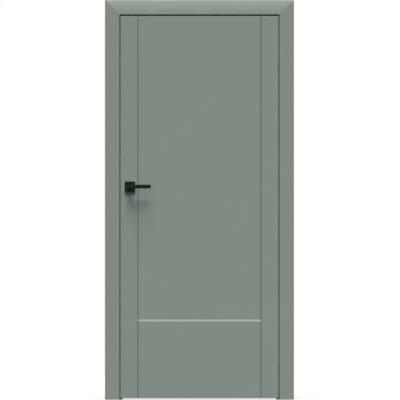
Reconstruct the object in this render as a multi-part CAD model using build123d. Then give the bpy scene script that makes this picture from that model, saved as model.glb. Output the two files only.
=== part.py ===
from build123d import *
from math import asin, cos, hypot, pi, radians, sin
import os

# Interior door set: a flush leaf in its adjustable timber frame, hung on concealed
# swan-neck hinges, with a magnetic latch and a pair of lever handles.
# X runs across the door and Z up from the floor. While the pieces are made, Y is the
# depth behind the leaf's front face. Every piece is centred in depth when it is written.

# Leaf
leaf_width = 827.0
leaf_height = 2000.0
leaf_thickness = 44.0
leaf_edge_round = 1.0
side_gap = 4.5
top_gap = 7.0
floor_gap = 8.0

# Stiles, panels and the joints between them
stile_width = 92.0
joint_bevel_width = 3.2
joint_bevel_depth = 5.2
board_tongue_thickness = 10.0
board_tongue_length = 12.0
board_fit = 0.2
dowel_radius = 5.0
dowel_length = 80.0
dowel_end_inset = 70.0
upper_dowels = 3
lower_dowels = 2

# Glass strip between the panels
strip_height = 14.5
strip_centre_height = 408.0
glass_thickness = 4.0
glass_recess = 0.8
glass_edge_bevel = 0.4
glue_line = 0.2
rail_tongue_length = 8.0

# Frame
frame_depth = 100.0
jamb_thickness = 36.0
stop_projection = 16.0
seal_space = 6.0
mitre_gap = 0.1
corner_screw_length = 60.0
corner_screw_depths = (60.0, 90.0)
fixing_hole_radius = 3.0
fixing_hole_depth = 38.0
fixing_hole_inset = 322.0
top_fixing_hole_inset = 118.0
fixing_holes = 4

# Casings with their tongues
casing_width = 76.5
casing_thickness = 14.0
casing_edge_thickness = 5.0
casing_round = 1.5
casing_tongue_inset = 27.0
casing_tongue_thickness = 4.0
casing_tongue_length = 14.0
casing_groove_fit = 0.2
casing_groove_spare_depth = 1.0
casing_relief_depth = 1.5
casing_relief_start = 37.0
casing_wall_band = 8.0

# Seals
seal_stem_thickness = 3.6
seal_stem_length = 6.5
seal_stem_inset = 6.0
seal_groove_thickness = 4.0
seal_groove_depth = 7.0
seal_bulb_width = 9.0
seal_wall = 1.2
seal_to_leaf = 0.3

# Hinges
hinge_axis_inset = 13.0
hinge_axis_depth = 9.0
hinge_end_distance = 200.0
hinge_count = 3
pin_radius = 3.0
knuckle_radius = 5.0
pin_fit = 0.02
hinge_running_fit = 0.05
hinge_plate_height = 120.0
hinge_plate_width = 24.0
hinge_plate_thickness = 4.0
hinge_box_height = 92.0
housing_depth = 24.0
housing_cover = 2.0
leaf_block_depth = 30.0
arm_height = 39.0
arm_thickness = 8.0
arm_reach = 23.0
arm_side_set = 1.0
ear_top = 44.0
ear_space = 1.2
washer_thickness = 0.9
washer_radius = 4.8
pocket_fit = 0.15
knuckle_clearance = 0.5
swing_clearance = 2.0
hinge_screw_height = 52.0
adjuster_radius = 3.0
adjuster_length = 12.0
adjuster_height = 33.0
adjuster_socket = 3.0
adjuster_socket_depth = 2.5

# Handle
backset = 50.0
handle_height = 1107.0
rose_size = 54.0
rose_thickness = 9.0
rose_wall = 1.5
rose_bevel = 0.7
rose_base_thickness = 6.0
rose_base_margin = 2.2
neck_radius = 9.0
neck_running_fit = 0.08
cover_hole_clearance = 0.5
lever_height = 20.0
lever_bar_thickness = 10.0
lever_projection = 55.0
lever_short_end = 11.7
lever_long_end = 110.0
lever_bevel = 0.9
spindle_size = 8.0
spindle_fit = 0.05
spindle_end_inset = 18.0
grub_screw_radius = 2.5
grub_screw_length = 4.6
grub_screw_standoff = 22.0
rose_bolt_offset = 19.0
rose_bolt_radius = 2.0
rose_bolt_head_radius = 3.6
rose_bolt_head_thickness = 2.0
spring_wire_width = 1.6
spring_ring_radius = 13.0
spring_opening = 40.0

# Lock
lock_case_depth = 73.0
lock_case_above = 60.0
lock_case_below = 95.0
lock_case_thickness = 14.0
lock_case_wall = 1.5
lock_pocket_fit = 0.5
faceplate_thickness = 3.0
faceplate_width = 18.0
faceplate_above = 81.0
faceplate_below = 115.0
follower_radius = 9.0
follower_hub_radius = 7.5
follower_running_fit = 0.06
follower_side_space = 0.3
nose_reach = 18.5
nose_half_width = 2.8
nose_thickness = 6.0
lever_travel = 40.0
latch_stroke = 11.0
latch_centre_height = 25.0
latch_height = 33.0
latch_thickness = 10.0
latch_head_length = 26.0
latch_slot_fit = 0.4
latch_round = 2.0
tail_thickness = 4.0
tail_low = 20.5
tail_high = 32.0
lug_width = 4.7
lug_clearance = 0.3

# Strike in the left jamb
strike_thickness = 2.5
strike_height = 100.0
strike_width = 22.0
strike_front_rim = 0.3
strike_side_play = 0.6
strike_end_play = 2.5
strike_box_wall = 1.2
strike_box_spare = 4.5
magnet_thickness = 2.8
magnet_height = 20.0
strike_screw_height = 41.0

# Countersunk wood screws
screw_head_radius = 3.6
screw_shank_radius = 1.9
screw_head_height = 2.2
screw_length = 30.0
frame_screw_length = 25.0
short_screw_length = 22.0
screw_fit = 0.05

# Flat sides that make up small rods and screws, hubs and slot ends
peg_sides = 8
hub_sides = 16
slot_end_flats = 8

# Places worked out from the sizes
half_leaf = leaf_width / 2
leaf_bottom = floor_gap
leaf_top = floor_gap + leaf_height
leaf_middle = leaf_thickness / 2
joint_x = half_leaf - stile_width
strip_low = leaf_bottom + strip_centre_height - strip_height / 2
strip_high = strip_low + strip_height
rebate_x = half_leaf + side_gap
rebate_z = leaf_top + top_gap
jamb_front = casing_thickness
jamb_back = jamb_front + frame_depth
stop_face = leaf_thickness + seal_space
tongue_middle = casing_tongue_inset + casing_tongue_thickness / 2
seal_middle = -(seal_stem_inset + seal_groove_thickness / 2)
handle_x = -half_leaf + backset
handle_z = leaf_bottom + handle_height
latch_z = handle_z + latch_centre_height
hinge_x = rebate_x + hinge_axis_inset
hinge_y = hinge_axis_depth
hinge_rise = (leaf_height - 2 * hinge_end_distance) / (hinge_count - 1)
hinge_heights = [leaf_bottom + hinge_end_distance + i * hinge_rise for i in range(hinge_count)]
bolt_reach = latch_stroke - side_gap - strike_thickness
strike_box_depth = bolt_reach + strike_box_spare + magnet_thickness + strike_box_wall
depth_centre = (jamb_back + casing_thickness - lever_projection) / 2

pieces = {}


def block(x0, x1, y0, y1, z0, z1):
    middle = Pos((x0 + x1) / 2, (y0 + y1) / 2, (z0 + z1) / 2)
    return middle * Box(x1 - x0, y1 - y0, z1 - z0)


def outline(points):
    return make_face(Polyline(*points, close=True))


def cylinder_along(direction, start, radius, length):
    plane = Plane(origin=start, z_dir=direction)
    return extrude(plane * Circle(radius), amount=length)


def square_bar(start, size, length):
    # A square bar running back from the start point
    return block(
        start[0] - size / 2,
        start[0] + size / 2,
        start[1],
        start[1] + length,
        start[2] - size / 2,
        start[2] + size / 2,
    )


def slot_outline(length, width):
    # A slot whose round ends are made of short flats
    radius = width / 2
    points = []
    for side in (1, -1):
        for step in range(slot_end_flats + 1):
            turn = pi * (step / slot_end_flats - 0.5)
            points.append((side * (length / 2 - radius + radius * cos(turn)), side * radius * sin(turn)))
    return outline(points)


def flat_sided_cone(top_radius, low_radius, depth, sides):
    # The wide end is level with the origin, and every side is a flat face
    def ring(radius, height):
        turns = [2 * pi * step / sides for step in range(sides)]
        return [(radius * cos(turn), radius * sin(turn), height) for turn in turns]

    top = ring(top_radius, 0)
    low = ring(low_radius, -depth)
    faces = [outline(top), outline(low)]
    for step in range(sides):
        following = (step + 1) % sides
        faces.append(outline([top[step], top[following], low[following], low[step]]))
    return Solid(Shell(faces))


def screw_shape(length, fit=0.0):
    # Head level with the origin and the shank down
    shank_radius = screw_shank_radius + fit
    head = flat_sided_cone(screw_head_radius + fit, shank_radius, screw_head_height, peg_sides)
    return head + extrude(RegularPolygon(shank_radius, peg_sides), amount=-length)


def screws_at(places, direction, length, fit=0.0):
    shape = screw_shape(length, fit)
    back = tuple(-value for value in direction)
    return [Plane(origin=place, z_dir=back) * shape for place in places]


def peg_along(direction, start, radius, length):
    # Small repeated rods and their holes have few sides
    plane = Plane(origin=start, z_dir=direction)
    return extrude(plane * RegularPolygon(radius, peg_sides), amount=length)


def bore_radius(radius, sides):
    # A many-sided hole whose flats stand this far from its middle
    return radius / cos(pi / sides)


def hub_along(direction, start, radius, length):
    plane = Plane(origin=start, z_dir=direction)
    return extrude(plane * RegularPolygon(radius, hub_sides), amount=length)


def pilot_holes(places, direction, length):
    radius = bore_radius(screw_shank_radius + screw_fit, peg_sides)
    return [peg_along(direction, place, radius, length) for place in places]


# Frame members: one section, in distance outward from the leaf's rebate and depth


def mitre_wedge(offset):
    low = rebate_z - casing_width
    high = rebate_z + 2 * casing_width
    low_half = rebate_x - casing_width + offset
    high_half = rebate_x + 2 * casing_width + offset
    shape = outline([(-low_half, low), (low_half, low), (high_half, high), (-high_half, high)])
    deep = 4 * frame_depth
    return extrude(Plane.XZ * shape, amount=deep, both=True)


def right_leg(section):
    bar = extrude(Pos(rebate_x, 0) * section, amount=rebate_z + casing_width, dir=(0, 0, 1))
    return bar - mitre_wedge(mitre_gap / 2)


def head_member(section):
    reach = rebate_x + 2 * casing_width
    plane = Plane(origin=(reach, 0, rebate_z), x_dir=(0, 0, 1), z_dir=(-1, 0, 0))
    bar = extrude(plane * section, amount=2 * reach, dir=(-1, 0, 0))
    return bar & mitre_wedge(-mitre_gap / 2)


def strip_section(x0, x1, y0, y1):
    return outline([(x0, y0), (x1, y0), (x1, y1), (x0, y1)])


def jamb_section():
    # A flat board, grooved in both edges for the casings' tongues
    groove = casing_tongue_length + casing_groove_spare_depth
    half = casing_tongue_thickness / 2 + casing_groove_fit
    back_tongue = tongue_middle - stop_projection
    body = strip_section(0, jamb_thickness, jamb_front, jamb_back)
    body -= strip_section(tongue_middle - half, tongue_middle + half, jamb_front, jamb_front + groove)
    return body - strip_section(back_tongue - half, back_tongue + half, jamb_back - groove, jamb_back)


def stop_section():
    # The stop glued on the board, grooved in front for the seal
    half = seal_groove_thickness / 2
    groove_end = stop_face + seal_groove_depth
    body = strip_section(-stop_projection, 0, stop_face, jamb_back)
    return body - strip_section(seal_middle - half, seal_middle + half, stop_face, groove_end)


def casing_section(inner, wall_plane, outward):
    # The face is an arc, square to the wall at the inner edge and falling to the outer edge
    fall = casing_thickness - casing_edge_thickness
    arc_radius = (casing_width**2 + fall**2) / (2 * fall)
    half_angle = asin(casing_width / arc_radius) / 2

    def at(across, height):
        return (inner + across, wall_plane + outward * height)

    middle_height = casing_thickness - arc_radius + arc_radius * cos(half_angle)
    start = at(0, casing_thickness)
    end = at(casing_width, casing_edge_thickness)
    face_arc = ThreePointArc(start, at(arc_radius * sin(half_angle), middle_height), end)
    tongue_low = casing_tongue_inset
    tongue_high = casing_tongue_inset + casing_tongue_thickness
    relief_end = casing_width - casing_wall_band
    rest = Polyline(
        end,
        at(casing_width, 0),
        at(relief_end, 0),
        at(relief_end, casing_relief_depth),
        at(casing_relief_start, casing_relief_depth),
        at(casing_relief_start, 0),
        at(tongue_high, 0),
        at(tongue_high, -casing_tongue_length),
        at(tongue_low, -casing_tongue_length),
        at(tongue_low, 0),
        at(0, 0),
        start,
    )
    face = make_face(face_arc.edges() + rest.edges())
    corners = [vertex for vertex in face.vertices() if is_near(vertex, start) or is_near(vertex, end)]
    return fillet(corners, casing_round)


def is_near(vertex, point):
    return abs(vertex.X - point[0]) < 0.01 and abs(vertex.Y - point[1]) < 0.01


def seal_section():
    bulb_depth = seal_space - seal_to_leaf
    centre = Pos(seal_middle, stop_face - bulb_depth / 2)
    bulb = centre * slot_outline(seal_bulb_width, bulb_depth)
    hollow = centre * slot_outline(seal_bulb_width - 2 * seal_wall, bulb_depth - 2 * seal_wall)
    half_stem = seal_stem_thickness / 2
    stem_top = stop_face - seal_wall / 2
    stem_low = stop_face + seal_stem_length
    stem = outline(
        [
            (seal_middle - half_stem, stem_top),
            (seal_middle + half_stem, stem_top),
            (seal_middle + half_stem, stem_low),
            (seal_middle - half_stem, stem_low),
        ]
    )
    return bulb + stem - hollow


def fixing_hole_cuts():
    cuts = []
    rise = (leaf_height - fixing_hole_inset - top_fixing_hole_inset) / (fixing_holes - 1)
    for index in range(fixing_holes):
        height = leaf_bottom + fixing_hole_inset + index * rise
        start = (rebate_x - 1, fixing_hole_depth, height)
        length = jamb_thickness + 2
        cuts.append(cylinder_along((1, 0, 0), start, fixing_hole_radius, length))
    return cuts


def corner_screw_places(side):
    outer = side * (rebate_x + jamb_thickness)
    height = rebate_z + jamb_thickness / 2
    return [(outer, depth, height) for depth in corner_screw_depths]


def corner_screws(fit=0.0):
    right = screws_at(corner_screw_places(1), (-1, 0, 0), corner_screw_length, fit)
    left = screws_at(corner_screw_places(-1), (1, 0, 0), corner_screw_length, fit)
    return right + left


def make_frame():
    section = jamb_section()
    leg = right_leg(section) - fixing_hole_cuts()
    screws = corner_screws(screw_fit)
    pieces["jamb_right"] = leg - hinge_jamb_pockets() - screws
    pieces["jamb_left"] = mirror(leg, Plane.YZ) - strike_pocket() - screws
    pieces["jamb_head"] = head_member(section) - screws
    pieces["corner_screws"] = Compound(corner_screws())
    stop = right_leg(stop_section())
    pieces["stop_right"] = stop
    pieces["stop_left"] = mirror(stop, Plane.YZ)
    pieces["stop_head"] = head_member(stop_section())


def make_casings():
    front = casing_section(0, jamb_front, -1)
    back = casing_section(-stop_projection, jamb_back, 1)
    front_leg = right_leg(front)
    back_leg = right_leg(back)
    pieces["casing_front_right"] = front_leg - hinge_casing_pockets()
    pieces["casing_front_left"] = mirror(front_leg, Plane.YZ)
    pieces["casing_front_head"] = head_member(front)
    pieces["casing_back_right"] = back_leg
    pieces["casing_back_left"] = mirror(back_leg, Plane.YZ)
    pieces["casing_back_head"] = head_member(back)


def make_seals():
    section = seal_section()
    leg = right_leg(section)
    pieces["seal_right"] = leg
    pieces["seal_left"] = mirror(leg, Plane.YZ)
    pieces["seal_head"] = head_member(section)


# Leaf boards


def stile():
    # The right stile, with its groove for the panels' tongues on the inner edge
    half_groove = board_tongue_thickness / 2
    groove_end = joint_x + board_tongue_length + board_fit
    section = outline(
        [
            (joint_x + joint_bevel_width, 0),
            (half_leaf, 0),
            (half_leaf, leaf_thickness),
            (joint_x + joint_bevel_width, leaf_thickness),
            (joint_x, leaf_thickness - joint_bevel_depth),
            (joint_x, leaf_middle + half_groove),
            (groove_end, leaf_middle + half_groove),
            (groove_end, leaf_middle - half_groove),
            (joint_x, leaf_middle - half_groove),
            (joint_x, joint_bevel_depth),
        ]
    )
    outer = [v for v in section.vertices() if abs(v.X - half_leaf) < 0.01]
    section = fillet(outer, leaf_edge_round)
    return Pos(0, 0, leaf_bottom) * extrude(section, amount=leaf_height, dir=(0, 0, 1))


def panel(low, high):
    half_tongue = board_tongue_thickness / 2 - board_fit
    tongue_end = joint_x + board_tongue_length
    quarter = [
        (joint_x - joint_bevel_width, 0),
        (joint_x, joint_bevel_depth),
        (joint_x, leaf_middle - half_tongue),
        (tongue_end, leaf_middle - half_tongue),
    ]
    back = [(x, leaf_thickness - y) for x, y in reversed(quarter)]
    right = quarter + back
    left = [(-x, y) for x, y in reversed(right)]
    section = outline(right + left)
    return Pos(0, 0, low) * extrude(section, amount=high - low, dir=(0, 0, 1))


def rail_groove(edge, direction):
    half_groove = board_tongue_thickness / 2
    end = edge + direction * (rail_tongue_length + board_fit)
    low, high = min(edge, end), max(edge, end)
    reach = half_leaf
    return block(-reach, reach, leaf_middle - half_groove, leaf_middle + half_groove, low, high)


def dowel_heights():
    lower_rise = (strip_low - leaf_bottom - 2 * dowel_end_inset) / (lower_dowels - 1)
    upper_rise = (leaf_top - strip_high - 2 * dowel_end_inset) / (upper_dowels - 1)
    lower = [leaf_bottom + dowel_end_inset + i * lower_rise for i in range(lower_dowels)]
    upper = [strip_high + dowel_end_inset + i * upper_rise for i in range(upper_dowels)]
    return lower + upper


def dowels(fit=0.0):
    rods = []
    for side in (-1, 1):
        middle = side * (joint_x + board_tongue_length / 2)
        for height in dowel_heights():
            start = (middle - dowel_length / 2 - fit, leaf_middle, height)
            rods.append(peg_along((1, 0, 0), start, dowel_radius + fit, dowel_length + 2 * fit))
    return rods


def make_leaf_boards():
    holes = dowels(screw_fit)
    right = stile()
    left = mirror(right, Plane.YZ)
    pieces["stile_right"] = right - holes - hinge_leaf_pockets()
    pieces["stile_left"] = left - holes - lock_pocket()
    pieces["panel_upper"] = panel(strip_high, leaf_top) - holes - rail_groove(strip_high, 1)
    pieces["panel_lower"] = panel(leaf_bottom, strip_low) - holes - rail_groove(strip_low, -1)
    pieces["leaf_dowels"] = Compound(dowels())


def make_strip():
    face = glass_recess + glass_thickness + glue_line
    rail = block(-joint_x, joint_x, face, leaf_thickness - face, strip_low, strip_high)
    half_tongue = board_tongue_thickness / 2 - board_fit
    rail += block(
        -joint_x,
        joint_x,
        leaf_middle - half_tongue,
        leaf_middle + half_tongue,
        strip_low - rail_tongue_length,
        strip_high + rail_tongue_length,
    )
    glass = block(
        -joint_x + glue_line,
        joint_x - glue_line,
        glass_recess,
        glass_recess + glass_thickness,
        strip_low + glue_line,
        strip_high - glue_line,
    )
    front_edges = glass.faces().sort_by(Axis.Y)[0].edges()
    glass = chamfer(front_edges, glass_edge_bevel)
    pieces["inlay_rail"] = rail
    pieces["glass_strip_front"] = glass
    middle = Plane(origin=(0, leaf_middle, 0), z_dir=(0, 1, 0))
    pieces["glass_strip_back"] = mirror(glass, middle)


# Hinges, made about their own axis with u across, v back and the pin upright

edge_u = -(hinge_axis_inset + side_gap)
rebate_u = -hinge_axis_inset
jamb_front_v = jamb_front - hinge_axis_depth
housing_front_v = jamb_front_v + housing_cover
leaf_block_middle_v = leaf_middle - hinge_axis_depth
housing_middle_v = housing_front_v + hinge_plate_width / 2
arm_right_u = arm_side_set + arm_thickness / 2
arm_left_u = arm_side_set - arm_thickness / 2
ear_bottom = arm_height / 2 + ear_space
slot_half = knuckle_radius + knuckle_clearance


def at_hinges(shape):
    return [Pos(hinge_x, hinge_y, height) * shape for height in hinge_heights]


def round_plate(u0, u1, middle_v, fit=0.0):
    plane = Plane(origin=(u0, middle_v, 0), x_dir=(0, 0, 1), z_dir=(1, 0, 0))
    shape = slot_outline(hinge_plate_height + 2 * fit, hinge_plate_width + 2 * fit)
    return extrude(plane * shape, amount=u1 - u0)


def hinge_box(u0, u1, middle_v, fit=0.0):
    half_width = hinge_plate_width / 2 + fit
    half_height = hinge_box_height / 2 + fit
    return block(u0, u1, middle_v - half_width, middle_v + half_width, -half_height, half_height)


def arm():
    # Swan neck: back from the knuckle, then across into the leaf
    front_v = arm_reach - arm_thickness
    shape = outline(
        [
            (arm_left_u, 0),
            (arm_right_u, 0),
            (arm_right_u, arm_reach),
            (edge_u - hinge_plate_thickness, arm_reach),
            (edge_u - hinge_plate_thickness, front_v),
            (arm_left_u, front_v),
        ]
    )
    outer = [v for v in shape.vertices() if is_near(v, (arm_right_u, arm_reach))]
    shape = fillet(outer, arm_thickness * 0.6)
    inner = [v for v in shape.vertices() if is_near(v, (arm_left_u, front_v))]
    shape = fillet(inner, arm_thickness * 0.3)
    shape += RegularPolygon(knuckle_radius, hub_sides)
    shape -= Circle(pin_radius + hinge_running_fit)
    return Pos(0, 0, -arm_height / 2) * extrude(shape, amount=arm_height, dir=(0, 0, 1))


def hinge_screw_places(u, v):
    return [(u, v, -hinge_screw_height), (u, v, hinge_screw_height)]


def adjuster_places():
    return [(edge_u, leaf_block_middle_v, side * adjuster_height) for side in (-1, 1)]


def adjusters():
    # Hexagon-socket screws in the leaf block, level with its plate
    screws = []
    for place in adjuster_places():
        body = peg_along((-1, 0, 0), place, adjuster_radius, adjuster_length)
        plane = Plane(origin=place, z_dir=(-1, 0, 0))
        hexagon = RegularPolygon(adjuster_socket / 2, 6, major_radius=False)
        screws.append(body - extrude(plane * hexagon, amount=adjuster_socket_depth))
    return screws


def hinge_leaf_part():
    body = round_plate(edge_u - hinge_plate_thickness, edge_u, leaf_block_middle_v)
    body += hinge_box(edge_u - leaf_block_depth, edge_u, leaf_block_middle_v)
    body += arm()
    bore = adjuster_radius + screw_fit
    for place in adjuster_places():
        body -= peg_along((-1, 0, 0), place, bore, adjuster_length + screw_fit)
    places = hinge_screw_places(edge_u, leaf_block_middle_v)
    return body - screws_at(places, (-1, 0, 0), screw_length, screw_fit)


def hinge_housing():
    deep_u = rebate_u + housing_depth
    body = round_plate(rebate_u, rebate_u + hinge_plate_thickness, housing_middle_v)
    body += hinge_box(rebate_u, deep_u, housing_middle_v)
    ear = block(-knuckle_radius, knuckle_radius, 0, housing_middle_v, ear_bottom, ear_top)
    ear += hub_along((0, 0, 1), (0, 0, ear_bottom), knuckle_radius, ear_top - ear_bottom)
    body += ear
    body += mirror(ear, Plane.XY)
    body -= block(
        rebate_u - 1,
        arm_right_u + knuckle_clearance,
        housing_front_v - 1,
        arm_reach + swing_clearance,
        -ear_bottom,
        ear_bottom,
    )
    bore = bore_radius(pin_radius + pin_fit, peg_sides)
    body -= peg_along((0, 0, 1), (0, 0, -ear_top - 1), bore, 2 * (ear_top + 1))
    places = hinge_screw_places(rebate_u, housing_middle_v)
    return body - screws_at(places, (1, 0, 0), frame_screw_length, screw_fit)


def hinge_pin():
    return cylinder_along((0, 0, 1), (0, 0, -ear_top), pin_radius, 2 * ear_top)


def washer_pair():
    low = ear_bottom - washer_thickness
    hole = RegularPolygon(pin_radius + hinge_running_fit, peg_sides, major_radius=False)
    ring = RegularPolygon(washer_radius, peg_sides) - hole
    upper = Pos(0, 0, low) * extrude(ring, amount=washer_thickness)
    return [upper, mirror(upper, Plane.XY)]


def front_slots(front_v, back_v):
    # Room for the ears, and for the arm as it swings through the inner edge
    ears = block(-slot_half, slot_half, front_v, back_v, -ear_top - 1, ear_top + 1)
    sweep = block(rebate_u - 1, slot_half + knuckle_clearance, front_v, back_v, -ear_bottom, ear_bottom)
    return ears + sweep


def hinge_jamb_pockets():
    deep_u = rebate_u + housing_depth + pocket_fit
    front_v = jamb_front_v - 1
    pocket = round_plate(rebate_u - 1, rebate_u + hinge_plate_thickness, housing_middle_v, pocket_fit)
    pocket += hinge_box(rebate_u - 1, deep_u, housing_middle_v, pocket_fit)
    pocket += front_slots(front_v, housing_middle_v)
    places = hinge_screw_places(rebate_u, housing_middle_v)
    cuts = [pocket] + pilot_holes(places, (1, 0, 0), frame_screw_length)
    return [cut for shape in cuts for cut in at_hinges(shape)]


def hinge_casing_pockets():
    return at_hinges(front_slots(-slot_half, jamb_front_v + 1))


def hinge_leaf_pockets():
    deep_u = edge_u - leaf_block_depth - pocket_fit
    pocket = round_plate(edge_u - hinge_plate_thickness, edge_u + 1, leaf_block_middle_v, pocket_fit)
    pocket += hinge_box(deep_u, edge_u + 1, leaf_block_middle_v, pocket_fit)
    places = hinge_screw_places(edge_u, leaf_block_middle_v)
    cuts = [pocket] + pilot_holes(places, (-1, 0, 0), screw_length)
    return [cut for shape in cuts for cut in at_hinges(shape)]


def make_hinges():
    names = ["lower", "middle", "upper"] + [f"extra_{i}" for i in range(1, hinge_count - 2)]
    parts = {
        "hinge_housing": hinge_housing(),
        "hinge_arm": hinge_leaf_part(),
        "hinge_pin": hinge_pin(),
    }
    for kind, shape in parts.items():
        for name, placed in zip(names, at_hinges(shape)):
            pieces[f"{kind}_{name}"] = placed
    washers = [placed for ring in washer_pair() for placed in at_hinges(ring)]
    pieces["hinge_washers"] = Compound(washers)
    pieces["hinge_adjusters"] = Compound([p for s in adjusters() for p in at_hinges(s)])
    frame_places = hinge_screw_places(rebate_u, housing_middle_v)
    leaf_places = hinge_screw_places(edge_u, leaf_block_middle_v)
    frame_screws = screws_at(frame_places, (1, 0, 0), frame_screw_length)
    leaf_screws = screws_at(leaf_places, (-1, 0, 0), screw_length)
    pieces["hinge_frame_screws"] = Compound([p for s in frame_screws for p in at_hinges(s)])
    pieces["hinge_leaf_screws"] = Compound([p for s in leaf_screws for p in at_hinges(s)])


# Lock, latch bolt and strike

case_x0 = -half_leaf + faceplate_thickness
case_x1 = -half_leaf + lock_case_depth
case_y0 = leaf_middle - lock_case_thickness / 2
case_y1 = leaf_middle + lock_case_thickness / 2
case_z0 = handle_z - lock_case_below
case_z1 = handle_z + lock_case_above


def round_ended(x0, x1, fit=0.0):
    height = faceplate_above + faceplate_below
    middle = (leaf_middle, handle_z + (faceplate_above - faceplate_below) / 2)
    plane = Plane(origin=(x0, middle[0], middle[1]), x_dir=(0, 0, 1), z_dir=(1, 0, 0))
    shape = slot_outline(height + 2 * fit, faceplate_width + 2 * fit)
    return extrude(plane * shape, amount=x1 - x0)


def lock_screw_places():
    inset = faceplate_width / 2
    low = handle_z - faceplate_below + inset
    high = handle_z + faceplate_above - inset
    return [(-half_leaf, leaf_middle, low), (-half_leaf, leaf_middle, high)]


def rose_bolt_places(depth):
    return [(handle_x + side * rose_bolt_offset, depth, handle_z) for side in (-1, 1)]


def through_holes(radius):
    depth = leaf_thickness + 2
    return [peg_along((0, 1, 0), place, radius, depth) for place in rose_bolt_places(-1)]


def lock_pocket():
    fit = lock_pocket_fit
    cuts = [round_ended(-half_leaf - 1, case_x0, pocket_fit)]
    cuts.append(block(case_x0 - 1, case_x1 + fit, case_y0 - fit, case_y1 + fit, case_z0 - fit, case_z1 + fit))
    bore = follower_hub_radius + 2 * rose_wall
    cuts.append(hub_along((0, 1, 0), (handle_x, -1, handle_z), bore, leaf_thickness + 2))
    cuts += through_holes(rose_bolt_head_radius)
    return cuts + pilot_holes(lock_screw_places(), (1, 0, 0), short_screw_length)


def latch_window(x0, x1):
    half_y = latch_thickness / 2 + latch_slot_fit / 2
    half_z = latch_height / 2 + latch_slot_fit / 2
    return block(x0, x1, leaf_middle - half_y, leaf_middle + half_y, latch_z - half_z, latch_z + half_z)


def make_lock():
    wall = lock_case_wall
    bore = bore_radius(follower_hub_radius + follower_running_fit, hub_sides)
    hub_hole = hub_along((0, 1, 0), (handle_x, 0, handle_z), bore, leaf_thickness)
    bolts = through_holes(rose_bolt_radius + board_fit)
    case = block(case_x0, case_x1, case_y0, case_y1 - wall, case_z0, case_z1)
    case -= block(case_x0 + wall, case_x1 - wall, case_y0 + wall, case_y1, case_z0 + wall, case_z1 - wall)
    cover = block(case_x0, case_x1, case_y1 - wall, case_y1, case_z0, case_z1)
    window = latch_window(-half_leaf - 1, case_x0 + wall + 1)
    pieces["lock_case"] = case - hub_hole - bolts - window
    pieces["lock_cover"] = cover - hub_hole - bolts
    plate = round_ended(-half_leaf, case_x0) - window
    plate -= screws_at(lock_screw_places(), (1, 0, 0), short_screw_length, screw_fit)
    pieces["lock_faceplate"] = plate
    pieces["lock_screws"] = Compound(screws_at(lock_screw_places(), (1, 0, 0), short_screw_length))


def lug_face():
    # Where the follower's nose stands when the lever is fully down and the bolt drawn in
    turn = radians(lever_travel)
    return handle_x + nose_reach * sin(turn) + nose_half_width * cos(turn) + lug_clearance


def make_latch():
    half_y = latch_thickness / 2
    half_z = latch_height / 2
    head_end = -half_leaf + latch_head_length
    head = block(
        -half_leaf, head_end, leaf_middle - half_y, leaf_middle + half_y, latch_z - half_z, latch_z + half_z
    )
    nose_edges = head.faces().sort_by(Axis.X)[0].edges().filter_by(Axis.Z)
    head = fillet(nose_edges, latch_round)
    lug_x = lug_face()
    half_tail = tail_thickness / 2
    tail_y = (leaf_middle - half_tail, leaf_middle + half_tail)
    tail = block(head_end - 1, lug_x + lug_width, *tail_y, handle_z + tail_low, handle_z + tail_high)
    lug_low = hypot(nose_reach, nose_half_width) + lug_clearance
    lug = block(lug_x, lug_x + lug_width, *tail_y, handle_z + lug_low, handle_z + tail_high)
    pieces["latch_bolt"] = head + tail + lug


def make_follower():
    inner = lock_case_thickness - 2 * lock_case_wall - 2 * follower_side_space
    disc_start = leaf_middle - inner / 2
    body = peg_along((0, 1, 0), (handle_x, disc_start, handle_z), follower_radius, inner)
    body += hub_along((0, 1, 0), (handle_x, case_y0, handle_z), follower_hub_radius, lock_case_thickness)
    body += block(
        handle_x - nose_half_width,
        handle_x + nose_half_width,
        leaf_middle - nose_thickness / 2,
        leaf_middle + nose_thickness / 2,
        handle_z,
        handle_z + nose_reach,
    )
    socket = spindle_size + 2 * spindle_fit
    body -= square_bar((handle_x, case_y0 - 1, handle_z), socket, lock_case_thickness + 2)
    pieces["follower"] = body


def strike_places():
    middle_y = jamb_front + strike_front_rim + strike_width / 2
    rows = (latch_z - strike_screw_height, latch_z + strike_screw_height)
    return [(-rebate_x, middle_y, height) for height in rows]


def strike_plate_block(fit=0.0):
    y0 = jamb_front + strike_front_rim
    half = strike_height / 2 + fit
    outer = -rebate_x - strike_thickness
    return block(outer, -rebate_x + fit, y0 - fit, y0 + strike_width + fit, latch_z - half, latch_z + half)


def strike_box_block(shrink):
    half_y = latch_thickness / 2 + strike_side_play + strike_box_wall - shrink
    half_z = latch_height / 2 + strike_end_play + strike_box_wall - shrink
    outer = -rebate_x - strike_thickness
    deep = outer - strike_box_depth + shrink
    return block(deep, outer, leaf_middle - half_y, leaf_middle + half_y, latch_z - half_z, latch_z + half_z)


def strike_pocket():
    cuts = [strike_plate_block(screw_fit), strike_box_block(-screw_fit)]
    return cuts + pilot_holes(strike_places(), (-1, 0, 0), short_screw_length)


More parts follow.
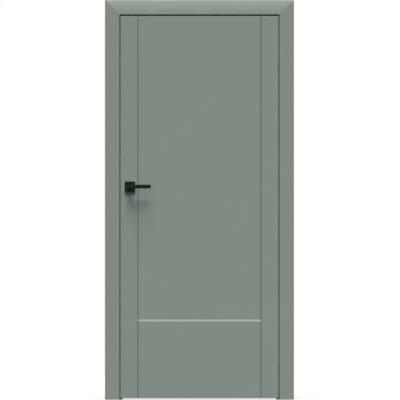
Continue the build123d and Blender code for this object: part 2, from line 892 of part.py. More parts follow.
def make_strike():
    half_y = latch_thickness / 2 + strike_side_play
    half_z = latch_height / 2 + strike_end_play
    window = block(
        -rebate_x - strike_thickness - 1,
        -rebate_x + 1,
        leaf_middle - half_y,
        leaf_middle + half_y,
        latch_z - half_z,
        latch_z + half_z,
    )
    screws = screws_at(strike_places(), (-1, 0, 0), short_screw_length, screw_fit)
    pieces["strike_plate"] = strike_plate_block() - window - screws
    box = strike_box_block(0)
    hollow = strike_box_block(strike_box_wall)
    pieces["strike_box"] = box - hollow
    deep = -rebate_x - strike_thickness - strike_box_depth + strike_box_wall
    pieces["strike_magnet"] = block(
        deep,
        deep + magnet_thickness,
        leaf_middle - latch_thickness / 2,
        leaf_middle + latch_thickness / 2,
        latch_z - magnet_height / 2,
        latch_z + magnet_height / 2,
    )
    pieces["strike_screws"] = Compound(screws_at(strike_places(), (-1, 0, 0), short_screw_length))


# Handle furniture: the front set is made and mirrored through the leaf's middle plane


def rose_cover():
    half = rose_size / 2
    shell = block(
        handle_x - half, handle_x + half, -rose_thickness, 0, handle_z - half, handle_z + half
    )
    shell = chamfer(shell.edges().filter_by(Axis.Y), rose_bevel)
    shell = chamfer(shell.faces().sort_by(Axis.Y)[0].edges(), rose_bevel)
    inner = half - rose_wall
    shell -= block(
        handle_x - inner,
        handle_x + inner,
        -rose_thickness + rose_wall,
        1,
        handle_z - inner,
        handle_z + inner,
    )
    hole = neck_radius + cover_hole_clearance
    return shell - cylinder_along((0, -1, 0), (handle_x, 1, handle_z), hole, rose_thickness + 2)


def rose_base():
    half = rose_size / 2 - rose_base_margin
    body = block(
        handle_x - half, handle_x + half, -rose_base_thickness, 0, handle_z - half, handle_z + half
    )
    bore = bore_radius(neck_radius + neck_running_fit, hub_sides)
    body -= hub_along((0, -1, 0), (handle_x, 1, handle_z), bore, rose_base_thickness + 2)
    body -= spring_groove()
    for place in rose_bolt_places(-rose_base_thickness - 1):
        body -= peg_along((0, 1, 0), place, rose_bolt_head_radius + board_fit, rose_bolt_head_thickness + 1)
        body -= peg_along((0, 1, 0), place, rose_bolt_radius + board_fit, rose_base_thickness + 2)
    return body


def spring_ring(half_width, depth):
    ring = RegularPolygon(spring_ring_radius + half_width, hub_sides)
    ring -= RegularPolygon(spring_ring_radius - half_width, hub_sides)
    plane = Plane(origin=(handle_x, -rose_base_thickness, handle_z), z_dir=(0, 1, 0))
    return extrude(plane * ring, amount=depth)


def spring_groove():
    return spring_ring(spring_wire_width / 2 + board_fit, spring_wire_width + 2 * board_fit)


def return_spring():
    # An open ring of square wire lying on the floor of the base's groove
    ring = Pos(0, 2 * board_fit, 0) * spring_ring(spring_wire_width / 2, spring_wire_width)
    half_gap = spring_ring_radius * sin(radians(spring_opening / 2))
    top = handle_z + 2 * spring_ring_radius
    return ring - block(handle_x - half_gap, handle_x + half_gap, -rose_thickness, 0, handle_z, top)


def lever():
    inner_y = -lever_projection + lever_bar_thickness
    half = lever_height / 2
    bar = block(
        handle_x - lever_short_end,
        handle_x + lever_long_end,
        -lever_projection,
        inner_y,
        handle_z - half,
        handle_z + half,
    )
    bar = chamfer(bar.edges(), lever_bevel)
    neck = cylinder_along((0, -1, 0), (handle_x, 0, handle_z), neck_radius, -inner_y + lever_bevel)
    body = bar + neck
    socket = spindle_size + 2 * spindle_fit
    body -= square_bar((handle_x, inner_y + spindle_end_inset - 1, handle_z), socket, lever_projection)
    grub = (handle_x, -grub_screw_standoff, handle_z)
    return body - peg_along((0, 0, -1), grub, grub_screw_radius + screw_fit, neck_radius + 1)


def grub_screw():
    start = (handle_x, -grub_screw_standoff, handle_z - spindle_size / 2)
    return peg_along((0, 0, -1), start, grub_screw_radius, grub_screw_length)


def rose_bolts():
    # A countersunk head in each base, joined through the leaf by one shank
    bolts = []
    length = leaf_thickness + 2 * rose_base_thickness
    for place in rose_bolt_places(-rose_base_thickness):
        shank = peg_along((0, 1, 0), place, rose_bolt_radius, length)
        head = peg_along((0, 1, 0), place, rose_bolt_head_radius, rose_bolt_head_thickness)
        far = (place[0], place[1] + length - rose_bolt_head_thickness, place[2])
        nut = peg_along((0, 1, 0), far, rose_bolt_head_radius, rose_bolt_head_thickness)
        bolts.append(shank + head + nut)
    return bolts


def make_handles():
    middle = Plane(origin=(0, leaf_middle, 0), z_dir=(0, 1, 0))
    halves = {"rose_cover": rose_cover(), "rose_base": rose_base(), "lever": lever()}
    for name, shape in halves.items():
        pieces[f"{name}_front"] = shape
        pieces[f"{name}_back"] = mirror(shape, middle)
    spring = return_spring()
    grub = grub_screw()
    pieces["return_springs"] = Compound([spring, mirror(spring, middle)])
    pieces["grub_screws"] = Compound([grub, mirror(grub, middle)])
    pieces["rose_bolts"] = Compound(rose_bolts())
    start = -lever_projection + lever_bar_thickness + spindle_end_inset
    pieces["spindle"] = square_bar((handle_x, start, handle_z), spindle_size, leaf_thickness - 2 * start)


make_frame()
make_casings()
make_seals()
make_leaf_boards()
make_strip()
make_hinges()
make_lock()
make_latch()
make_follower()
make_strike()
make_handles()

for name, shape in pieces.items():
    export_step(Pos(0, -depth_centre, 0) * shape, f"parts/{name}.step")
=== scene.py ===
import math

import bpy
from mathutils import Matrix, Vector


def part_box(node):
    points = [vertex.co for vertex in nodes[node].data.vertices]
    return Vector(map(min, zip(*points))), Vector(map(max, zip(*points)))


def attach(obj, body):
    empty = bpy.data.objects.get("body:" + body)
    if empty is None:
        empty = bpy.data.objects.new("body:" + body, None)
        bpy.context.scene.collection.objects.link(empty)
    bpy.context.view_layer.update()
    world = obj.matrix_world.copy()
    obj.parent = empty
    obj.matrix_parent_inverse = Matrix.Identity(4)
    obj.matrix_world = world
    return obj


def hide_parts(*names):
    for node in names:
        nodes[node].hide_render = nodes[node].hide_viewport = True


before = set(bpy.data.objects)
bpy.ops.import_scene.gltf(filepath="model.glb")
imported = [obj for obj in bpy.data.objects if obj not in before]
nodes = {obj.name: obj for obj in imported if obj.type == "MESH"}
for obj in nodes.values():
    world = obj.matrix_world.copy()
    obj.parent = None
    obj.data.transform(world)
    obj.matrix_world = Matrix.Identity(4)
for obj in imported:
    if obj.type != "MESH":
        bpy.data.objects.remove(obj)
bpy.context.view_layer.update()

print("frame loaded:", len(nodes), "nodes")


# Small helpers

def toLinear(hexColour):
    # sRGB hex to the linear colour that the shaders take
    parts = [int(hexColour[i:i + 2], 16) / 255 for i in (1, 3, 5)]
    curve = [p / 12.92 if p <= 0.04045 else ((p + 0.055) / 1.055) ** 2.4 for p in parts]
    return (*curve, 1.0)


def addNode(tree, kind, settings=None, inputs=None):
    # One node with its settings, its fixed values and its links
    node = tree.nodes.new(kind)
    for name, value in (settings or {}).items():
        setattr(node, name, value)
    for key, value in (inputs or {}).items():
        if isinstance(value, bpy.types.NodeSocket):
            tree.links.new(value, node.inputs[key])
        else:
            node.inputs[key].default_value = value
    return node


def startMaterial(name):
    material = bpy.data.materials.new(name)
    material.use_nodes = True
    tree = material.node_tree
    shader = tree.nodes["Principled BSDF"]
    place = addNode(tree, "ShaderNodeTexCoord")
    return material, tree, shader, place


def patternPerMetre(sizeInMm):
    # Noise scale that makes one blob about this wide
    return 1000.0 / sizeInMm


patternDetail = {"grain": 2.0, "drift": 3.0, "fibre": 6.0}


def addSurfaceGrain(tree, shader, place, sizeInMm, height):
    # Fine unevenness in the finish, its height in metres
    grain = addNode(tree, "ShaderNodeTexNoise", inputs={
        "Vector": place.outputs["Object"], "Scale": patternPerMetre(sizeInMm),
        "Detail": patternDetail["grain"]})
    bump = addNode(tree, "ShaderNodeBump", inputs={
        "Height": grain.outputs["Fac"], "Distance": height})
    tree.links.new(bump.outputs["Normal"], shader.inputs["Normal"])


def varyColour(tree, place, lowHex, highHex, sizeInMm, detail=patternDetail["drift"]):
    # Slow drift between two near tones
    drift = addNode(tree, "ShaderNodeTexNoise", inputs={
        "Vector": place.outputs["Object"], "Scale": patternPerMetre(sizeInMm), "Detail": detail})
    mix = addNode(tree, "ShaderNodeMix", {"data_type": "RGBA"}, {
        0: drift.outputs["Fac"], 6: toLinear(lowHex), 7: toLinear(highHex)})
    return mix.outputs[2]


def varyRoughness(tree, shader, place, low, high, sizeInMm):
    # Patches that are a little duller or glossier than the rest
    blotch = addNode(tree, "ShaderNodeTexNoise", inputs={
        "Vector": place.outputs["Object"], "Scale": patternPerMetre(sizeInMm),
        "Detail": patternDetail["drift"]})
    spread = addNode(tree, "ShaderNodeMapRange", inputs={
        "Value": blotch.outputs["Fac"], "To Min": low, "To Max": high})
    tree.links.new(spread.outputs["Result"], shader.inputs["Roughness"])
    return spread.outputs["Result"]


def dress(material, *names):
    for name in names:
        for slot in nodes[name].material_slots:
            slot.material = material


# Lacquered and bare fibreboard

boardFinish = {
    "lacquerLow": "#808A82",
    "lacquerHigh": "#828C84",
    "driftMm": 180,
    "lacquerRoughness": (0.52, 0.58),
    "glossBlotchMm": 40,
    "lacquerGloss": 0.3,
    "sprayGrainMm": 1.4,  # the real spray texture is finer, about 0.4 mm, and would not show
    "sprayGrainHeight": 0.00002,
    "bareLow": "#9C7D5A",
    "bareHigh": "#B3926C",
    "fibreMm": 1.2,
    "fibreHeight": 0.00006,
    "bareRoughness": 0.92,
    "bareSkin": 0.001,  # the jambs are bare from this far under their outer faces outwards
    "bareTurn": 0.5,  # a casing is bare where it faces the wall by more than this
}


def lacqueredBoard(name, bareMask=None):
    # Medium-density fibreboard sprayed with matt polyurethane lacquer: even, soft, slightly
    # pebbled. Where it meets the wall it is left bare, brown and fibrous.
    material, tree, shader, place = startMaterial(name)
    colour = varyColour(tree, place, boardFinish["lacquerLow"], boardFinish["lacquerHigh"],
                        boardFinish["driftMm"])
    shader.inputs["Specular IOR Level"].default_value = boardFinish["lacquerGloss"]
    low, high = boardFinish["lacquerRoughness"]
    roughness = varyRoughness(tree, shader, place, low, high, boardFinish["glossBlotchMm"])
    addSurfaceGrain(tree, shader, place, boardFinish["sprayGrainMm"],
                    boardFinish["sprayGrainHeight"])
    if bareMask:
        bare = varyColour(tree, place, boardFinish["bareLow"], boardFinish["bareHigh"],
                          boardFinish["fibreMm"], patternDetail["fibre"])
        mask = bareMask(tree, place)
        colour = addNode(tree, "ShaderNodeMix", {"data_type": "RGBA"},
                         {0: mask, 6: colour, 7: bare}).outputs[2]
        rough = addNode(tree, "ShaderNodeMix", inputs={
            0: mask, 2: roughness, 3: boardFinish["bareRoughness"]})
        tree.links.new(rough.outputs[0], shader.inputs["Roughness"])
    tree.links.new(colour, shader.inputs["Base Color"])
    return material


def jambIsBare(tree, place):
    # The outer faces of the jambs, which stand against the wall opening
    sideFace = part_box("jamb_right")[1].x - boardFinish["bareSkin"]
    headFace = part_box("jamb_head")[1].z - boardFinish["bareSkin"]
    parts = addNode(tree, "ShaderNodeSeparateXYZ", inputs={0: place.outputs["Object"]})
    across = addNode(tree, "ShaderNodeMath", {"operation": "ABSOLUTE"}, {0: parts.outputs["X"]})
    side = addNode(tree, "ShaderNodeMath", {"operation": "GREATER_THAN"},
                   {0: across.outputs[0], 1: sideFace})
    head = addNode(tree, "ShaderNodeMath", {"operation": "GREATER_THAN"},
                   {0: parts.outputs["Z"], 1: headFace})
    either = addNode(tree, "ShaderNodeMath", {"operation": "MAXIMUM"},
                     {0: side.outputs[0], 1: head.outputs[0]})
    return either.outputs[0]


def casingIsBare(facing):
    # The back of a casing, which lies on the wall
    def mask(tree, place):
        parts = addNode(tree, "ShaderNodeSeparateXYZ", inputs={0: place.outputs["Normal"]})
        turned = addNode(tree, "ShaderNodeMath", {"operation": "MULTIPLY"},
                         {0: parts.outputs["Y"], 1: facing})
        back = addNode(tree, "ShaderNodeMath", {"operation": "GREATER_THAN"},
                       {0: turned.outputs[0], 1: boardFinish["bareTurn"]})
        return back.outputs[0]
    return mask


sides = ("left", "right", "head")
dress(lacqueredBoard("lacquered fibreboard leaf"), "stile_left", "stile_right", "panel_upper",
      "panel_lower")
dress(lacqueredBoard("lacquered fibreboard jamb", jambIsBare), *[f"jamb_{s}" for s in sides],
      *[f"stop_{s}" for s in sides])
dress(lacqueredBoard("lacquered fibreboard front casing", casingIsBare(1.0)),
      *[f"casing_front_{s}" for s in sides])
dress(lacqueredBoard("lacquered fibreboard back casing", casingIsBare(-1.0)),
      *[f"casing_back_{s}" for s in sides])


def bareFibreboard():
    # Sanded fibreboard core rail: brown, dull, with short fibres
    material, tree, shader, place = startMaterial("bare fibreboard")
    colour = varyColour(tree, place, boardFinish["bareLow"], boardFinish["bareHigh"],
                        boardFinish["fibreMm"], patternDetail["fibre"])
    tree.links.new(colour, shader.inputs["Base Color"])
    shader.inputs["Roughness"].default_value = boardFinish["bareRoughness"]
    addSurfaceGrain(tree, shader, place, boardFinish["fibreMm"], boardFinish["fibreHeight"])
    return material


dress(bareFibreboard(), "inlay_rail")
print("boards finished")


# Glass strips

stripFinish = {
    "paintLow": "#ACB2AA",
    "paintHigh": "#B1B7AF",
    "driftMm": 220,
    "roughness": (0.34, 0.42),
    "glossBlotchMm": 12,
    "ior": 1.52,
    "etchMm": 0.9,  # the real etching is too fine to show, so it is drawn coarser
    "etchHeight": 0.000006,
}


def satinEtchedGlass():
    # Float glass, acid-etched in front and painted behind: pale, with a soft spread gloss
    material, tree, shader, place = startMaterial("satin etched back-painted glass")
    colour = varyColour(tree, place, stripFinish["paintLow"], stripFinish["paintHigh"],
                        stripFinish["driftMm"])
    tree.links.new(colour, shader.inputs["Base Color"])
    low, high = stripFinish["roughness"]
    varyRoughness(tree, shader, place, low, high, stripFinish["glossBlotchMm"])
    shader.inputs["IOR"].default_value = stripFinish["ior"]
    addSurfaceGrain(tree, shader, place, stripFinish["etchMm"], stripFinish["etchHeight"])
    return material


dress(satinEtchedGlass(), "glass_strip_front", "glass_strip_back")


# Handles and metal parts

coatFinish = {
    "low": "#10170F",
    "high": "#151C14",
    "driftMm": 30,
    "gloss": 0.1,
    "roughness": (0.46, 0.56),
    "blotchMm": 6,
    "grainMm": 0.9,
    "grainHeight": 0.00003,
}


def powderCoatedZinc():
    # Die-cast zinc with a fine matt black powder coat: dark, dry, slightly pebbled
    material, tree, shader, place = startMaterial("black powder-coated zinc")
    colour = varyColour(tree, place, coatFinish["low"], coatFinish["high"], coatFinish["driftMm"])
    tree.links.new(colour, shader.inputs["Base Color"])
    shader.inputs["Specular IOR Level"].default_value = coatFinish["gloss"]
    low, high = coatFinish["roughness"]
    varyRoughness(tree, shader, place, low, high, coatFinish["blotchMm"])
    addSurfaceGrain(tree, shader, place, coatFinish["grainMm"], coatFinish["grainHeight"])
    return material


def metal(name, finish):
    material, tree, shader, place = startMaterial(name)
    colour = varyColour(tree, place, finish["low"], finish["high"], finish["blotchMm"])
    tree.links.new(colour, shader.inputs["Base Color"])
    shader.inputs["Metallic"].default_value = 1.0
    low, high = finish["roughness"]
    varyRoughness(tree, shader, place, low, high, finish["blotchMm"])
    addSurfaceGrain(tree, shader, place, finish["grainMm"], finish["grainHeight"])
    return material


# Satin chromed zinc casting: even grey sheen without a grain direction
satinZinc = metal("satin chromed zinc", {
    "low": "#BDBDBA",
    "high": "#C9C9C6",
    "roughness": (0.3, 0.4),
    "blotchMm": 9,
    "grainMm": 1.0,
    "grainHeight": 0.000008,
})
# Zinc casting plated with black nickel: smoky grey, so that it hardly shows in the dark gap
blackNickel = metal("black nickel-plated zinc", {
    "low": "#656764",
    "high": "#6F716E",
    "roughness": (0.3, 0.4),
    "blotchMm": 9,
    "grainMm": 1.0,
    "grainHeight": 0.000008,
})
# Turned and drawn steel, bright zinc plated: small cloudy patches in the gloss
brightSteel = metal("bright zinc-plated steel", {
    "low": "#A9ACAF",
    "high": "#C2C4C6",
    "roughness": (0.22, 0.36),
    "blotchMm": 3,
    "grainMm": 0.8,
    "grainHeight": 0.000006,
})
# Pressed sheet steel with a galvanic zinc skin: bluish, mottled
platedSheet = metal("zinc-plated sheet steel", {
    "low": "#9FA3A8",
    "high": "#BCBFBD",
    "roughness": (0.32, 0.5),
    "blotchMm": 7,
    "grainMm": 1.2,
    "grainHeight": 0.00001,
})


# Plastic, rubber and wood

polyamideFinish = {
    "low": "#161716",
    "high": "#1D1E1D",
    "driftMm": 14,
    "roughness": (0.42, 0.52),
    "blotchMm": 5,
    "ior": 1.53,
    "textureMm": 0.8,
    "textureHeight": 0.00003,
}


def mouldedPolyamide():
    # Injection-moulded black polyamide with a fine eroded mould texture
    material, tree, shader, place = startMaterial("black moulded polyamide")
    colour = varyColour(tree, place, polyamideFinish["low"], polyamideFinish["high"],
                        polyamideFinish["driftMm"])
    tree.links.new(colour, shader.inputs["Base Color"])
    low, high = polyamideFinish["roughness"]
    varyRoughness(tree, shader, place, low, high, polyamideFinish["blotchMm"])
    shader.inputs["IOR"].default_value = polyamideFinish["ior"]
    addSurfaceGrain(tree, shader, place, polyamideFinish["textureMm"],
                    polyamideFinish["textureHeight"])
    return material


sealFinish = {
    "low": "#565C57",
    "high": "#5E645F",
    "driftMm": 60,
    "roughness": (0.62, 0.72),
    "blotchMm": 8,
    "grainMm": 0.9,
    "grainHeight": 0.00002,
}


def extrudedSeal():
    # Extruded thermoplastic elastomer: dull grey-green, faintly uneven
    material, tree, shader, place = startMaterial("extruded elastomer seal")
    colour = varyColour(tree, place, sealFinish["low"], sealFinish["high"], sealFinish["driftMm"])
    tree.links.new(colour, shader.inputs["Base Color"])
    low, high = sealFinish["roughness"]
    varyRoughness(tree, shader, place, low, high, sealFinish["blotchMm"])
    addSurfaceGrain(tree, shader, place, sealFinish["grainMm"], sealFinish["grainHeight"])
    return material


beechFinish = {
    "low": "#B98A5E",
    "high": "#D3AB7E",
    "fleckMm": 1.2,
    "stretch": (0.12, 1.0, 1.0),  # the flecks run along X, as the dowels do
    "roughness": 0.7,
}


def beechDowelWood():
    # Fluted beech: pale pink-brown with short dark flecks along the grain
    material, tree, shader, place = startMaterial("beech")
    along = addNode(tree, "ShaderNodeMapping", inputs={
        "Vector": place.outputs["Object"], "Scale": beechFinish["stretch"]})
    fleck = addNode(tree, "ShaderNodeTexNoise", inputs={
        "Vector": along.outputs[0], "Scale": patternPerMetre(beechFinish["fleckMm"]),
        "Detail": patternDetail["fibre"]})
    mix = addNode(tree, "ShaderNodeMix", {"data_type": "RGBA"}, {
        0: fleck.outputs["Fac"], 6: toLinear(beechFinish["low"]), 7: toLinear(beechFinish["high"])})
    tree.links.new(mix.outputs[2], shader.inputs["Base Color"])
    shader.inputs["Roughness"].default_value = beechFinish["roughness"]
    return material


levels = ("lower", "middle", "upper")
dress(powderCoatedZinc(), "lever_front", "lever_back", "rose_cover_front", "rose_cover_back")
dress(satinZinc, "lock_faceplate", "strike_plate")
dress(blackNickel, *[f"hinge_housing_{n}" for n in levels], *[f"hinge_arm_{n}" for n in levels])
dress(brightSteel, "corner_screws", "hinge_adjusters", "spindle", "follower", "rose_bolts",
      "return_springs", "latch_bolt", "strike_magnet", *[f"hinge_pin_{n}" for n in levels])
dress(platedSheet, "lock_case", "lock_cover")
dress(mouldedPolyamide(), "strike_box", "rose_base_front", "rose_base_back", "hinge_washers")
dress(extrudedSeal(), *[f"seal_{s}" for s in sides])
dress(beechDowelWood(), "leaf_dowels")
print("metal, plastic, rubber and wood finished")


# Screws, made by Geometry Nodes and stood in rows

screwSizes = {
    "holeRadius": 0.0036,  # to the corners of the eight-sided countersinks that they sit in
    "headRadius": 0.00335,
    "shankRadius": 0.00178,
    "tipRadius": 0.0002,
    "neckShare": 0.995,  # the shank starts a hair slimmer than the head ends
    "shankDrop": 0.0001,  # and as much deeper, so that the two cones cross cleanly
    "facets": 20,
    "pairOnHinge": 0.104,
    "socketScrewFacets": 24,
    "socketSides": 6,
}


def addSockets(tree, sockets):
    for name, kind, value in sockets:
        socket = tree.interface.new_socket(name, in_out="INPUT", socket_type=kind)
        if value is not None:
            socket.default_value = value
    tree.interface.new_socket("Geometry", in_out="OUTPUT", socket_type="NodeSocketGeometry")


def standInRows(tree, given, screwSocket):
    # Rows of pairs: one pair a hinge, or one pair for a whole plate
    rows = addNode(tree, "GeometryNodeMeshLine", {"mode": "OFFSET"}, {
        "Count": given["Row Count"], "Start Location": given["First Place"],
        "Offset": given["Row Step"]})
    pair = addNode(tree, "GeometryNodeMeshLine", {"mode": "OFFSET"}, {
        "Count": given["Pair Count"], "Offset": given["Pair Step"]})
    pairs = addNode(tree, "GeometryNodeInstanceOnPoints", inputs={
        "Points": rows.outputs[0], "Instance": pair.outputs[0]})
    places = addNode(tree, "GeometryNodeRealizeInstances", inputs={0: pairs.outputs[0]})
    screws = addNode(tree, "GeometryNodeInstanceOnPoints", inputs={
        "Points": places.outputs[0], "Instance": screwSocket, "Rotation": given["Turn"]})
    real = addNode(tree, "GeometryNodeRealizeInstances", inputs={0: screws.outputs[0]})
    finish = addNode(tree, "GeometryNodeSetMaterial", inputs={
        0: real.outputs[0], "Material": given["Finish"]})
    addNode(tree, "NodeGroupOutput", inputs={0: finish.outputs[0]})


rowSockets = [
    ("First Place", "NodeSocketVector", None), ("Row Count", "NodeSocketInt", 1),
    ("Row Step", "NodeSocketVector", None), ("Pair Count", "NodeSocketInt", 2),
    ("Pair Step", "NodeSocketVector", None), ("Turn", "NodeSocketRotation", None),
    ("Finish", "NodeSocketMaterial", None),
]


def lowered(tree, geometry, length, share, further=0.0):
    # A mesh moved down by a share of a length, and a little further
    drop = addNode(tree, "ShaderNodeMath", {"operation": "MULTIPLY_ADD"}, {
        0: length, 1: -share, 2: -further})
    offset = addNode(tree, "ShaderNodeCombineXYZ", inputs={"Z": drop.outputs[0]})
    return addNode(tree, "GeometryNodeTransform", inputs={
        "Geometry": geometry, "Translation": offset.outputs[0]}).outputs[0]


def countersunkTree():
    # A countersunk wood screw with its head level with the origin and a cross recess
    tree = bpy.data.node_groups.new("countersunk screws", "GeometryNodeTree")
    addSockets(tree, rowSockets + [
        ("Head Radius", "NodeSocketFloat", 0.0036), ("Head Height", "NodeSocketFloat", 0.0022),
        ("Shank Radius", "NodeSocketFloat", 0.0019), ("Length", "NodeSocketFloat", 0.030),
        ("Recess Reach", "NodeSocketFloat", 0.0021), ("Recess Width", "NodeSocketFloat", 0.0008),
        ("Recess Depth", "NodeSocketFloat", 0.0016)])
    given = addNode(tree, "NodeGroupInput").outputs
    head = addNode(tree, "GeometryNodeMeshCone", inputs={
        "Vertices": screwSizes["facets"], "Radius Top": given["Head Radius"],
        "Radius Bottom": given["Shank Radius"], "Depth": given["Head Height"]})
    neck = addNode(tree, "ShaderNodeMath", {"operation": "MULTIPLY"}, {
        0: given["Shank Radius"], 1: screwSizes["neckShare"]})
    shank = addNode(tree, "GeometryNodeMeshCone", inputs={
        "Vertices": screwSizes["facets"], "Radius Top": neck.outputs[0],
        "Radius Bottom": screwSizes["tipRadius"], "Depth": given["Length"]})
    body = addNode(tree, "GeometryNodeMeshBoolean", {"operation": "UNION", "solver": "EXACT"})
    for cone in (lowered(tree, head.outputs[0], given["Head Height"], 1.0),
                 lowered(tree, shank.outputs[0], given["Length"], 1.0, screwSizes["shankDrop"])):
        tree.links.new(cone, body.inputs["Mesh 2"])
    reach = addNode(tree, "ShaderNodeMath", {"operation": "MULTIPLY"}, {
        0: given["Recess Reach"], 1: 2.0})
    depth = addNode(tree, "ShaderNodeMath", {"operation": "MULTIPLY"}, {
        0: given["Recess Depth"], 1: 2.0})
    size = addNode(tree, "ShaderNodeCombineXYZ", inputs={
        "X": reach.outputs[0], "Y": given["Recess Width"], "Z": depth.outputs[0]})
    blade = addNode(tree, "GeometryNodeMeshCube", inputs={"Size": size.outputs[0]})
    screw = addNode(tree, "GeometryNodeMeshBoolean", {"operation": "DIFFERENCE", "solver": "EXACT"},
                    {"Mesh 1": body.outputs[0]})
    for turn in (0.0, math.pi / 2):
        turned = addNode(tree, "GeometryNodeTransform", inputs={
            "Geometry": blade.outputs[0], "Rotation": (0.0, 0.0, turn)})
        tree.links.new(turned.outputs[0], screw.inputs["Mesh 2"])
    standInRows(tree, given, screw.outputs[0])
    return tree


def socketTree():
    # A headless screw with a hexagon socket in its outer end
    tree = bpy.data.node_groups.new("socket screws", "GeometryNodeTree")
    addSockets(tree, rowSockets + [
        ("Radius", "NodeSocketFloat", 0.0025), ("Length", "NodeSocketFloat", 0.0046),
        ("Socket Radius", "NodeSocketFloat", 0.00145), ("Socket Depth", "NodeSocketFloat", 0.002)])
    given = addNode(tree, "NodeGroupInput").outputs
    rod = addNode(tree, "GeometryNodeMeshCylinder", inputs={
        "Vertices": screwSizes["socketScrewFacets"], "Radius": given["Radius"],
        "Depth": given["Length"]})
    twice = addNode(tree, "ShaderNodeMath", {"operation": "MULTIPLY"}, {
        0: given["Socket Depth"], 1: 2.0})
    hexagon = addNode(tree, "GeometryNodeMeshCylinder", inputs={
        "Vertices": screwSizes["socketSides"], "Radius": given["Socket Radius"],
        "Depth": twice.outputs[0]})
    screw = addNode(tree, "GeometryNodeMeshBoolean", {"operation": "DIFFERENCE", "solver": "EXACT"}, {
        "Mesh 1": lowered(tree, rod.outputs[0], given["Length"], 0.5),
        "Mesh 2": hexagon.outputs[0]})
    standInRows(tree, given, screw.outputs[0])
    return tree


def makeScrews(name, tree, sizes, body, slot, *replaced):
    carrier = bpy.data.objects.new(name + " places", bpy.data.meshes.new(name + " places"))
    bpy.context.scene.collection.objects.link(carrier)
    modifier = carrier.modifiers.new("screws", "NODES")
    modifier.node_group = tree
    byName = {item.name: item.identifier for item in tree.interface.items_tree
              if item.in_out == "INPUT"}
    for key, value in sizes.items():
        modifier[byName[key]] = value
    seen = carrier.evaluated_get(bpy.context.evaluated_depsgraph_get())
    mesh = bpy.data.meshes.new_from_object(seen)
    carrier.modifiers.remove(modifier)
    bpy.data.objects.remove(carrier)
    piece = bpy.data.objects.new(name, mesh)
    bpy.context.scene.collection.objects.link(piece)
    if not mesh.materials:
        mesh.materials.append(sizes["Finish"])
    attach(piece, body)
    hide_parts(*replaced)


def rowOf(node, headAtLowX, pairStep=None, rows=1):
    # Sizes of a row of screws that fills the CAD node's own box
    low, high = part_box(node)
    inset = screwSizes["holeRadius"]
    span = high.z - low.z - 2 * inset
    step = span if pairStep is None else pairStep
    rowStep = (span - step) / (rows - 1) if rows > 1 else 0.0
    headX = low.x if headAtLowX else high.x
    return {"First Place": Vector((headX, (low.y + high.y) / 2, low.z + inset)),
            "Row Count": rows, "Row Step": Vector((0, 0, rowStep)),
            "Pair Count": 2, "Pair Step": Vector((0, 0, step)),
            "Turn": (0.0, -math.pi / 2 if headAtLowX else math.pi / 2, 0.0),
            "Finish": brightSteel, "Length": high.x - low.x,
            "Head Radius": screwSizes["headRadius"], "Shank Radius": screwSizes["shankRadius"]}


crossHead = countersunkTree()
hingeRows = screwSizes["pairOnHinge"], len(levels)
makeScrews("hinge_housing_cross_screws", crossHead, rowOf("hinge_frame_screws", True, *hingeRows),
           "frame", "bright_steel", "hinge_frame_screws")
makeScrews("hinge_arm_cross_screws", crossHead, rowOf("hinge_leaf_screws", False, *hingeRows),
           "leaf", "bright_steel", "hinge_leaf_screws")
makeScrews("faceplate_cross_screws", crossHead, rowOf("lock_screws", True),
           "leaf", "bright_steel", "lock_screws")
makeScrews("strike_cross_screws", crossHead, rowOf("strike_screws", False),
           "frame", "bright_steel", "strike_screws")

grubLow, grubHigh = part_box("grub_screws")
grubRadius = (grubHigh.x - grubLow.x) / 2
makeScrews("lever_socket_screws", socketTree(), {
    "First Place": Vector(((grubLow.x + grubHigh.x) / 2, grubLow.y + grubRadius, grubLow.z)),
    "Pair Count": 2,
    "Pair Step": Vector((0, grubHigh.y - grubLow.y - 2 * grubRadius, 0)),
    "Turn": (math.pi, 0.0, 0.0), "Finish": brightSteel, "Radius": grubRadius,
    "Length": grubHigh.z - grubLow.z}, "handle", "bright_steel", "grub_screws")
print("screws made")


# Floor, background, light and camera

stageSettings = {
    "halfSize": 5.0,
    "floorColour": "#6E6E6E",  # as the camera sees it, white together with its glow
    "floorBounce": "#303030",  # as light that leaves the floor for the door sees it
    "floorGlow": 0.62,
    "floorRoughness": 0.95,
    "ambientBelow": 0.03,
    "ambientAbove": 1.35,
    "boxSoftness": 0.5,  # how wide both lamps look from the door, in radians
    "frontElevation": 69.0,
    "frontStrength": 5.1,
    "backElevation": 40.0,
    "backStrength": 1.7,
}


def cameraSeesIt(tree):
    # Camera, glossy and transmission rays, which see the plain white surroundings
    path = addNode(tree, "ShaderNodeLightPath")
    two = addNode(tree, "ShaderNodeMath", {"operation": "MAXIMUM"}, {
        0: path.outputs["Is Camera Ray"], 1: path.outputs["Is Glossy Ray"]})
    return addNode(tree, "ShaderNodeMath", {"operation": "MAXIMUM"}, {
        0: two.outputs[0], 1: path.outputs["Is Transmission Ray"]}).outputs[0]


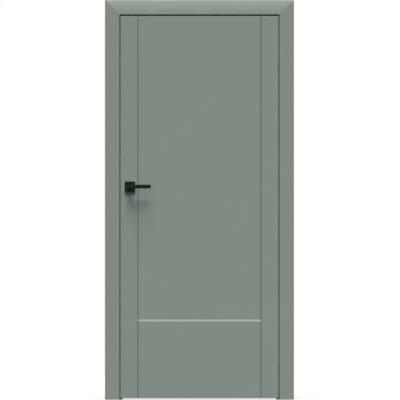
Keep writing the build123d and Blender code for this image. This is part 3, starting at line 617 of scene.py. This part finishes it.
def makeFloor():
    half = stageSettings["halfSize"]
    mesh = bpy.data.meshes.new("studio floor")
    mesh.from_pydata([(-half, -half, 0), (half, -half, 0), (half, half, 0), (-half, half, 0)], [],
                     [(0, 1, 2, 3)])
    floor = bpy.data.objects.new("studio floor", mesh)
    bpy.context.scene.collection.objects.link(floor)
    material, tree, shader = startMaterial("matt studio floor")[:3]
    seen = cameraSeesIt(tree)
    colour = addNode(tree, "ShaderNodeMix", {"data_type": "RGBA"}, {
        0: seen, 6: toLinear(stageSettings["floorBounce"]),
        7: toLinear(stageSettings["floorColour"])})
    tree.links.new(colour.outputs[2], shader.inputs["Base Color"])
    shader.inputs["Roughness"].default_value = stageSettings["floorRoughness"]
    shader.inputs["Specular IOR Level"].default_value = 0.0
    shader.inputs["Emission Color"].default_value = (1.0, 1.0, 1.0, 1.0)
    glow = addNode(tree, "ShaderNodeMath", {"operation": "MULTIPLY"}, {
        0: seen, 1: stageSettings["floorGlow"]})
    tree.links.new(glow.outputs[0], shader.inputs["Emission Strength"])
    mesh.materials.append(material)


def makeWorld():
    world = bpy.data.worlds.new("white studio")
    world.use_nodes = True
    bpy.context.scene.world = world
    tree = world.node_tree
    # The light that falls on the door comes mostly from above, the white is only seen
    direction = addNode(tree, "ShaderNodeTexCoord").outputs["Generated"]
    upward = addNode(tree, "ShaderNodeSeparateXYZ", inputs={0: direction}).outputs["Z"]
    sky = addNode(tree, "ShaderNodeMapRange", inputs={
        "Value": upward, "To Min": stageSettings["ambientBelow"],
        "To Max": stageSettings["ambientAbove"]})
    level = addNode(tree, "ShaderNodeMix", inputs={
        0: cameraSeesIt(tree), 2: sky.outputs["Result"], 3: 1.0})
    background = tree.nodes["Background"]
    background.inputs["Color"].default_value = (1.0, 1.0, 1.0, 1.0)
    tree.links.new(level.outputs[0], background.inputs["Strength"])


def makeSoftbox(name, elevation, strength, side):
    # Straight on and above, wide enough for a soft edge to the handle's shadow; side is 1 in
    # front of the door and -1 behind it
    light = bpy.data.lights.new(name, "SUN")
    light.energy = strength
    light.angle = stageSettings["boxSoftness"]
    box = bpy.data.objects.new(name, light)
    box.rotation_euler = (side * math.radians(90.0 - elevation), 0.0, 0.0)
    bpy.context.scene.collection.objects.link(box)


cameraSettings = {
    "distance": 40.0,
    "pixels": 400,
    "mmPerPixel": 5.2305,  # at the face of the leaf, which is 2 m high between its gaps
    "middleHeight": 1.045,
    "sideOffsetPixels": 0.55,  # the door stands this far left of the middle
    "sensorWidth": 36.0,
    "clipEnd": 200.0,
}


def makeCamera():
    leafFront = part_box("panel_upper")[0].y
    perPixel = cameraSettings["mmPerPixel"] / 1000
    data = bpy.data.cameras.new("long lens")
    data.sensor_width = cameraSettings["sensorWidth"]
    frameWidth = perPixel * cameraSettings["pixels"]
    data.lens = data.sensor_width * (cameraSettings["distance"] + leafFront) / frameWidth
    data.clip_end = cameraSettings["clipEnd"]
    camera = bpy.data.objects.new("long lens", data)
    camera.location = (cameraSettings["sideOffsetPixels"] * perPixel, -cameraSettings["distance"],
                       cameraSettings["middleHeight"])
    camera.rotation_euler = (math.pi / 2, 0.0, 0.0)
    bpy.context.scene.collection.objects.link(camera)
    bpy.context.scene.camera = camera


makeFloor()
makeWorld()
makeSoftbox("front softbox", stageSettings["frontElevation"], stageSettings["frontStrength"], 1)
makeSoftbox("back softbox", stageSettings["backElevation"], stageSettings["backStrength"], -1)
makeCamera()
bpy.context.scene.view_settings.view_transform = "Standard"
print("stage ready")

bpy.context.view_layer.update()
